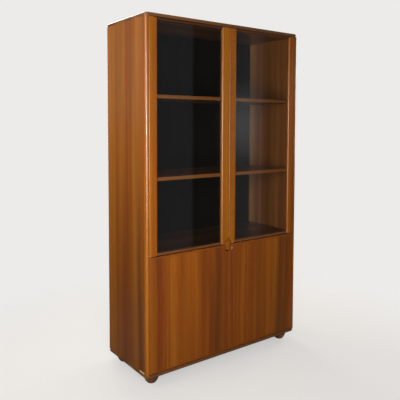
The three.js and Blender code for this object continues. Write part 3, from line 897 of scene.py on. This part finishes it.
def posts(woods):
    """The solid posts glued to the sides' front edges."""
    for side in SIDES:
        node = "front_post_" + side
        low, high = box_of(node)
        outer_inner = (low.x, high.x) if side == "left" else (high.x, low.x)
        corners = rectangle(outer_inner, (low.y, high.y), (POST_ROUND, EDGE_EASE, 0, 0))
        stand_for(node, prism(corners, "Z", low.z, high.z), woods[node])


def shelf_boards(woods):
    """Shelves with an eased front edge. The fixed one has a deep lipping and, behind the hole, a screen."""
    for node in SHELF_NODES:
        low, high = box_of(node)
        is_middle = node == "middle_shelf"
        top = SPLIT_Z + MIDDLE_THICKNESS / 2 if is_middle else high.z
        corners = rectangle((low.y, high.y), (low.z, top), (SHELF_ROUND, 0, 0, SHELF_ROUND))
        if is_middle:
            lipping_back = low.y + MIDDLE_LIPPING
            under = top - MIDDLE_THICKNESS
            corners[1:2] = [(lipping_back, low.z, EDGE_EASE), (lipping_back, under, 0), (high.y, under, 0)]
        bm = eased(prism(corners, "X", low.x, high.x), END_EASE)
        if is_middle:
            front_back = (low.y, low.y + SCREEN_THICKNESS)
            corners = rectangle(front_back, (SPLIT_Z, high.z), (0, 0, SHELF_ROUND, SHELF_ROUND))
            screen = prism(corners, "X", -SCREEN_HALF_WIDTH, SCREEN_HALF_WIDTH)
            bm = combined(bm, [eased(screen, END_EASE)], "UNION")
        stand_for(node, bm, woods[node])


def finger_hole():
    """What the oval finger hole takes out of the four door corners: a bore with a soft rim on both sides."""
    low, high = box_of("upper_door_left_meeting_stile")
    thickness = high.y - low.y
    back_rim = [(-inset, HOLE_BACK_RIM - height) for inset, height in quarter_round(HOLE_BACK_RIM)]
    rim = [(-inset, thickness - HOLE_RIM + height) for inset, height in quarter_round(HOLE_RIM)]
    rings = [(-HOLE_BACK_RIM, -OVERRUN), *back_rim[::-1], *rim, (-HOLE_RIM, thickness + OVERRUN)]
    bm = ring_solid(2 * HOLE_RADIUS, HOLE_RISE + HOLE_DROP, HOLE_RADIUS, rings, HOLE_QUARTER_STEPS)
    return placed(bm, (0, high.y, SPLIT_Z + (HOLE_RISE - HOLE_DROP) / 2), "front")


def bush_bores(door):
    """The bores for a door's bushes: from beyond the door's edge to each bush's inner end."""
    bores = []
    for end, facing in (("bottom", "up"), ("top", "down")):
        bush = f"{door}_{end}_bush"
        low, high = box_of(bush)
        start = low.z - OVERRUN if end == "bottom" else high.z + OVERRUN
        length = high.z - low.z + GAP + OVERRUN
        bores.append(rod(BUSH_RADIUS + GAP, length, middle_of(bush, z=start), facing))
    return bores


def upper_doors(woods):
    """Stiles with a rounded inner edge, thin rails set back from the front, and the glass's grooves."""
    glass_front = GLASS_LOW.y - GAP
    glass_back = GLASS_HIGH.y + GAP
    for side in SIDES:
        prefix = "upper_door_" + side
        for kind in ("hinge_stile", "meeting_stile"):
            node = f"{prefix}_{kind}"
            low, high = box_of(node)
            inner_is_high = (side == "left") == (kind == "hinge_stile")
            edge, inner = (low.x, high.x) if inner_is_high else (high.x, low.x)
            groove = inner + (STILE_GROOVE if edge > inner else -STILE_GROOVE)
            corners = [
                (edge, low.y, DOOR_ROUND), (inner, low.y, STILE_INNER_ROUND),
                (inner, glass_front, 0), (groove, glass_front, 0),
                (groove, glass_back, 0), (inner, glass_back, 0),
                (inner, high.y, EDGE_EASE), (edge, high.y, EDGE_EASE),
            ]
            cutters = bush_bores(prefix) if kind == "hinge_stile" else [finger_hole()]
            bm = eased(prism(corners, "Z", low.z, high.z), END_EASE)
            stand_for(node, combined(bm, cutters), woods[node])
        for kind in ("top_rail", "bottom_rail"):
            node = f"{prefix}_{kind}"
            low, high = box_of(node)
            edge, inner = (high.z, low.z) if kind == "top_rail" else (low.z, high.z)
            groove = inner + (RAIL_GROOVE if edge > inner else -RAIL_GROOVE)
            corners = [
                (low.y, edge, EDGE_EASE), (high.y, edge, EDGE_EASE),
                (high.y, inner, EDGE_EASE), (glass_back, inner, 0),
                (glass_back, groove, 0), (glass_front, groove, 0),
                (glass_front, inner, 0), (low.y, inner, RAIL_ROUND),
            ]
            stand_for(node, prism(corners, "X", low.x, high.x), woods[node])


def lower_doors(woods):
    """Solid doors: boards with rounded front edges, the bushes' bores and their part of the finger hole."""
    for side in SIDES:
        prefix = "lower_door_" + side
        node = prefix + "_panel"
        low, high = box_of(node)
        size = high - low
        bm = board(size.x, size.z, size.y, DOOR_CORNER, EDGE_EASE, DOOR_ROUND)
        placed(bm, middle_of(node, y=high.y), "front")
        stand_for(node, combined(bm, [*bush_bores(prefix), finger_hole()]), woods[node])


def feet(material):
    """Turned feet: a swelling curve from the wide top to the small flat, and the spigot above."""
    for node in FEET:
        low, high = box_of(node)
        top_radius = (high.x - low.x) / 2
        shoulder = box_of("base_panel")[0].z - GAP
        profile = [(0, 0)]
        for k in range(FOOT_RINGS + 1):
            drop = cos(pi / 2 * k / FOOT_RINGS)
            swell = (1 - drop**FOOT_CURVE_POWER) ** (1 / FOOT_CURVE_POWER)
            radius = FOOT_FLAT_RADIUS + (top_radius - FOOT_FLAT_RADIUS) * swell
            profile.append((radius, shoulder * (1 - drop)))
        profile += [(SPIGOT_RADIUS, shoulder), (SPIGOT_RADIUS, high.z), (0, high.z)]
        stand_for(node, placed(turned(profile, FOOT_STEPS), middle_of(node, z=0), "up"), material)


# Metal pieces and catches


def with_screws(bm, places, facing):
    """A metal plate with countersunk screws, their heads flush with its face at these places."""
    seat = [
        (0, -SCREW_DEPTH), (SCREW_SHANK_RADIUS, -SCREW_DEPTH),
        (SCREW_RADIUS, 0), (SCREW_RADIUS, OVERRUN), (0, OVERRUN),
    ]
    head = [
        (0, SEAT_GAP - SCREW_DEPTH), (SCREW_SHANK_RADIUS - SEAT_GAP, SEAT_GAP - SCREW_DEPTH),
        (SCREW_RADIUS - 2 * SEAT_GAP, -SEAT_GAP), (0, 0),
    ]
    half = Vector((SCREW_SLOT_LENGTH, SCREW_SLOT_WIDTH)) / 2
    seats = []
    heads = []
    for place in places:
        seats.append(placed(turned(seat), place, facing))
        slots = [block((-x, -y, -SCREW_SLOT_DEPTH), (x, y, OVERRUN)) for x, y in (half, half.yx)]
        cross = combined(slots[0], slots[1:], "UNION")
        heads.append(placed(combined(turned(head), [cross]), place, facing))
    return joined([combined(bm, seats), *heads])


def pivot_pin(origin, length, facing):
    """A pivot's pin with a chamfered tip, from inside its plate."""
    profile = [
        (0, 0), (PIVOT_RADIUS, 0), (PIVOT_RADIUS, length - PIVOT_CHAMFER),
        (PIVOT_RADIUS - PIVOT_CHAMFER, length), (0, length),
    ]
    return placed(turned(profile), origin, facing)


def metal_sheet(width, length, thickness=PLATE_THICKNESS, corner=METAL_CORNER):
    """A thin plate with its edges just broken, lying on Z = 0 around the origin."""
    return board(width, length, thickness, corner, METAL_EASE, METAL_EASE)


def screw_places(node, **fixed):
    """A screw's place near each end of a plate, at these coordinates."""
    low, high = box_of(node)
    return [middle_of(node, x=x, **fixed) for x in (low.x + SCREW_FROM_END, high.x - SCREW_FROM_END)]


def pivots(steel):
    """Pivot plates under the top and on the base, and the brackets between the doors, each with its pins."""
    for side in SIDES:
        for end, door, facing in (("top", "upper", "down"), ("base", "lower", "up")):
            node = f"{end}_pivot_{side}"
            low, high = box_of(node)
            size = high - low
            back_z, reach = (high.z, -PLATE_THICKNESS) if end == "top" else (low.z, PLATE_THICKNESS)
            plate = placed(metal_sheet(size.x, size.y), middle_of(node, z=back_z), facing)
            start = middle_of(f"{door}_door_{side}_top_bush", z=back_z + reach / 2)
            pin = pivot_pin(start, size.z - PLATE_THICKNESS / 2, facing)
            ends = screw_places(node, z=back_z + reach)
            stand_for(node, with_screws(combined(plate, [pin], "UNION"), ends, facing), steel)
        bracket(side, steel)


def bracket(side, steel):
    """A tongue between the doors with a pin up and a pin down, and a flange screwed to the middle shelf."""
    node = "middle_pivot_bracket_" + side
    plate_node = "top_pivot_" + side
    low, high = box_of(node)
    plate_low, plate_high = box_of(plate_node)
    tongue = metal_sheet(plate_high.x - plate_low.x, high.y - low.y)
    placed(tongue, middle_of(plate_node, y=middle_of(node).y, z=SPLIT_Z - PLATE_THICKNESS / 2), "up")
    flange = metal_sheet(high.x - low.x, FLANGE_HEIGHT)
    placed(flange, middle_of(node, y=high.y, z=SPLIT_Z), "front")
    whole = combined(tongue, [flange], "UNION")
    centre = middle_of(f"upper_door_{side}_bottom_bush", z=SPLIT_Z)
    for facing in ("up", "down"):
        whole = combined(whole, [pivot_pin(centre, high.z - SPLIT_Z, facing)], "UNION")
    ends = screw_places(node, y=high.y - PLATE_THICKNESS, z=SPLIT_Z + FLANGE_HEIGHT / 4)
    stand_for(node, with_screws(whole, ends, "front"), steel)


def bushes(brass):
    """Flanged bushes in the doors' edges."""
    for node in [name for name in NODES if name.endswith("_bush")]:
        low, high = box_of(node)
        length = high.z - low.z
        flange_radius = (high.x - low.x) / 2
        profile = [
            (BUSH_BORE_RADIUS, 0), (flange_radius - METAL_EASE, 0), (flange_radius, METAL_EASE),
            (flange_radius, BUSH_FLANGE), (BUSH_RADIUS, BUSH_FLANGE),
            (BUSH_RADIUS, length), (BUSH_BORE_RADIUS, length),
        ]
        start, facing = (low.z, "up") if "bottom" in node else (high.z, "down")
        bm = placed(turned(profile, ring=True), middle_of(node, z=start), facing)
        stand_for(node, bm, brass)


def shelf_pins(steel):
    """Shelf pins: a thin shank in the side panel and a thicker head with a round nose under the shelf."""
    for node in PINS:
        low, high = box_of(node)
        length = high.x - low.x
        head_radius = (high.z - low.z) / 2
        shank = length - PIN_HEAD_LENGTH
        nose = [
            (head_radius - inset, length - PIN_NOSE + height)
            for inset, height in quarter_round(PIN_NOSE, NOSE_STEPS)
        ]
        profile = [
            (0, 0), (PIN_RADIUS - METAL_EASE, 0), (PIN_RADIUS, METAL_EASE), (PIN_RADIUS, shank),
            (head_radius - METAL_EASE, shank), (head_radius, shank + METAL_EASE), *nose, (0, length),
        ]
        start, facing = (low.x, "right") if "_left_" in node else (high.x, "left")
        bm = placed(turned(profile), middle_of(node, x=start), facing)
        stand_for(node, bm, steel)


def strikes(steel):
    """Steel strikes screwed to the backs of the doors."""
    for node in [name for name in NODES if name.endswith("_strike")]:
        low, high = box_of(node)
        size = high - low
        plate = placed(metal_sheet(size.x, size.z, size.y), middle_of(node, y=low.y), "back")
        stand_for(node, with_screws(plate, [middle_of(node, y=high.y)], "back"), steel)


def catches(plastic_finish, steel):
    """Double magnetic catches: a brown body with a magnet in a pocket behind each door's strike."""
    for level in ("upper", "lower"):
        node = level + "_magnet_catch"
        low, high = box_of(node)
        corners = rectangle((low.y, high.y), (low.z, high.z), [CATCH_ROUND] * 4)
        pockets = []
        for side in SIDES:
            strike_low, strike_high = box_of(f"{level}_door_{side}_strike")
            margin = Vector((MAGNET_MARGIN, 0, MAGNET_MARGIN))
            start, end = strike_low + margin, strike_high - margin
            start.y = low.y - OVERRUN
            end.y = low.y + MAGNET_DEPTH
            pockets.append(block(start, end))
            size = end - start
            magnet = metal_sheet(
                size.x - 2 * SEAT_GAP, size.z - 2 * SEAT_GAP, MAGNET_DEPTH - 2 * SEAT_GAP, 2 * METAL_EASE
            )
            origin = (start + end) / 2
            origin.y = end.y - SEAT_GAP
            placed(magnet, origin, "front")
            shown(f"{level}_catch_magnet_{side}", magnet, steel, "carcass", "steel")
        bm = eased(prism(corners, "X", low.x, high.x), END_EASE)
        stand_for(node, combined(bm, pockets), plastic_finish)


def plate(brass):
    """The small blank plate let into the left side."""
    low, high = box_of("blank_plate")
    size = high - low
    bm = board(size.z, size.y, size.x, 2 * METAL_EASE, METAL_EASE / 2, METAL_EASE)
    stand_for("blank_plate", placed(bm, middle_of("blank_plate", x=high.x), "left"), brass)


# Finishes for all pieces


def wood_materials():
    """One walnut for each board, so that no two boards repeat a pattern."""
    made = {
        "top_panel": walnut("slab_top", "X", SLAB_TONES, TOP_SEED),
        "base_panel": walnut("slab_base", "X", SLAB_TONES, BASE_SEED),
    }
    for side, seed in SIDE_SEEDS.items():
        node = "side_panel_" + side
        # The sides' inner faces take painted light and shade in their own tones
        inner_x = min(abs(corner.x) for corner in box_of(node))
        made[node] = walnut(
            "side_" + side, "Z", VENEER_TONES, seed, across="Y", leaf=SIDE_LEAF, streaks=STREAKS[node],
            coat=VENEER_COAT, inside_light_within=inner_x + GAP,
        )
        made["front_post_" + side] = walnut(
            "post_" + side, "Z", SOLID_TONES, seed + POST_STEP, coat=POST_COAT,
            coat_roughness=POST_COAT_ROUGHNESS,
        )
    for number, node in enumerate(SHELF_NODES):
        tones, strip_tones, depth = SHELF_TONES, EDGE_TONES, SHELF_STRIP
        if node == "middle_shelf":
            # Painted shade on the middle shelf's boards, and painted light on its deep front lipping and the
            # screen behind the finger hole
            tones, strip_tones, depth = PAINTED_SHADE_TONES, SCREEN_PAINTED_LIGHT_TONES, MIDDLE_LIPPING
        made[node] = walnut(
            node + "_wood", "X", tones, SHELF_SEED + number, front_strip=box_of(node)[0].y + depth,
            strip_tones=strip_tones, lift=LIFTS.get(node, 0),
        )
    for side, seed in DOOR_SEEDS.items():
        for step, kind in enumerate(("hinge_stile", "meeting_stile")):
            node = f"upper_door_{side}_{kind}"
            made[node] = walnut(
                f"{kind}_{side}", "Z", SOLID_TONES, seed + step, lift=LIFTS.get(node, 0), coat=STILE_COAT,
                figure=RIPPLED_FIGURE if node == RIPPLED_STILE else STILE_FIGURE,
            )
        # Painted shade: the top rails take the darker tones for the shade under the top's overhang
        for kind, tones in (("top_rail", PAINTED_SHADE_TONES), ("bottom_rail", SLAB_TONES)):
            made[f"upper_door_{side}_{kind}"] = walnut(f"{kind}_{side}", "X", tones, seed + RAIL_STEP)
        node = f"lower_door_{side}_panel"
        made[node] = walnut(
            "door_" + side, "Z", DOOR_TONES, seed + LOWER_DOOR_STEP, leaf=DOOR_LEAF, streaks=STREAKS[node],
            lipping=box_of(node), lift=LIFTS.get(node, 0), coat=VENEER_COAT,
            stripe_contrast=DOOR_STRIPE_CONTRAST,
        )
    return made


def dress(node, material):
    """A material for a CAD node whose shape stays."""
    NODES[node].data.materials.clear()
    NODES[node].data.materials.append(material)


# Stage, lamps, background and camera


def stage():
    bm = bmesh.new()
    bmesh.ops.create_circle(bm, cap_ends=True, radius=FLOOR_RADIUS, segments=FLOOR_STEPS)
    floor = object_from("floor", bm)
    floor.data.materials.append(floor_material())
    for panel in PANELS:
        bm = bmesh.new()
        bmesh.ops.create_grid(bm, x_segments=1, y_segments=1, size=0.5)
        bm.transform(Matrix.Diagonal((panel.width, panel.height, 1, 1)))
        sheet = object_from(panel.name, placed(bm, panel.place, "back"))
        sheet.data.materials.append(reflection_material(panel))


def lamps(panes):
    """The studio lamps. The glass lets them through and doesn't mirror them."""
    unlit = bpy.data.collections.new("unlit")
    for pane in panes:
        unlit.objects.link(pane)
    for entry in unlit.collection_objects:
        entry.light_linking.link_state = "EXCLUDE"
    for lamp in LAMPS:
        data = bpy.data.lights.new(lamp.name, "AREA")
        data.shape = "RECTANGLE"
        data.size = lamp.width
        data.size_y = lamp.height
        data.energy = lamp.power
        data.color = colour(*LAMP_TONE)[:3]
        obj = bpy.data.objects.new(lamp.name, data)
        obj.location = lamp.place
        obj.rotation_euler = (Vector(lamp.target) - Vector(lamp.place)).to_track_quat("-Z", "Y").to_euler()
        obj.light_linking.receiver_collection = unlit
        obj.visible_diffuse = not lamp.only_gloss
        bpy.context.scene.collection.objects.link(obj)


def world():
    """Dim light all round for the object, and a pale background where the camera, glass or metal sees it."""
    scene_world = bpy.data.worlds.new("studio")
    bpy.context.scene.world = scene_world
    t = Tree(scene_world)
    glossy = t.add("LightPath", output="Is Glossy Ray")
    seen = t.math("MAXIMUM", seen_directly(t), t.product(glossy, MIRRORED_PALE_SHARE))
    strength = t.span(glossy, 0, 1, WORLD_LIGHT, MIRRORED_WORLD_LIGHT)
    dim = t.add("Background", {"Color": colour(*LAMP_TONE), "Strength": strength})
    bright = t.add("Background", {"Color": colour(*PALE)})
    t.surface(t.add("MixShader", {"Fac": seen, 1: dim, 2: bright}))


def camera():
    data = bpy.data.cameras.new("camera")
    data.sensor_width = SENSOR
    data.lens = SENSOR * FOCAL_PIXELS / PHOTO_SIZE
    data.shift_y = (AXIS_ROW - PHOTO_SIZE / 2) / PHOTO_SIZE
    obj = bpy.data.objects.new("camera", data)
    matrix = Matrix.Translation(CAMERA_PLACE)
    for angle, axis in ((-CAMERA_YAW, "Z"), (pi / 2 - CAMERA_PITCH, "X"), (CAMERA_ROLL, "Z")):
        matrix = matrix @ Matrix.Rotation(angle, 4, axis)
    obj.matrix_world = matrix
    bpy.context.scene.collection.objects.link(obj)
    bpy.context.scene.camera = obj


woods = wood_materials()
brass = metal("brass", *BRASS)
steel = metal("steel", *STEEL)
slabs(woods)
side_panels(woods)
posts(woods)
shelf_boards(woods)
upper_doors(woods)
lower_doors(woods)
feet(walnut("turned_feet", "Z", FOOT_TONES, FOOT_SEED))
pivots(steel)
bushes(brass)
shelf_pins(steel)
strikes(steel)
catches(plastic(), steel)
# Painted reflection: the plate's pale, barely metallic brass stands in for the bright floor it would mirror
plate(metal("plate_brass_painted_shine", *PLATE_BRASS_PAINTED_SHINE))
dress("back_panel", dark_board())
glass = clear_glass()
pane_nodes = [f"upper_door_{side}_glass" for side in SIDES]
for node in pane_nodes:
    dress(node, glass)
stage()
lamps([NODES[node] for node in pane_nodes])
world()
camera()
bpy.context.scene.view_settings.view_transform = "Standard"
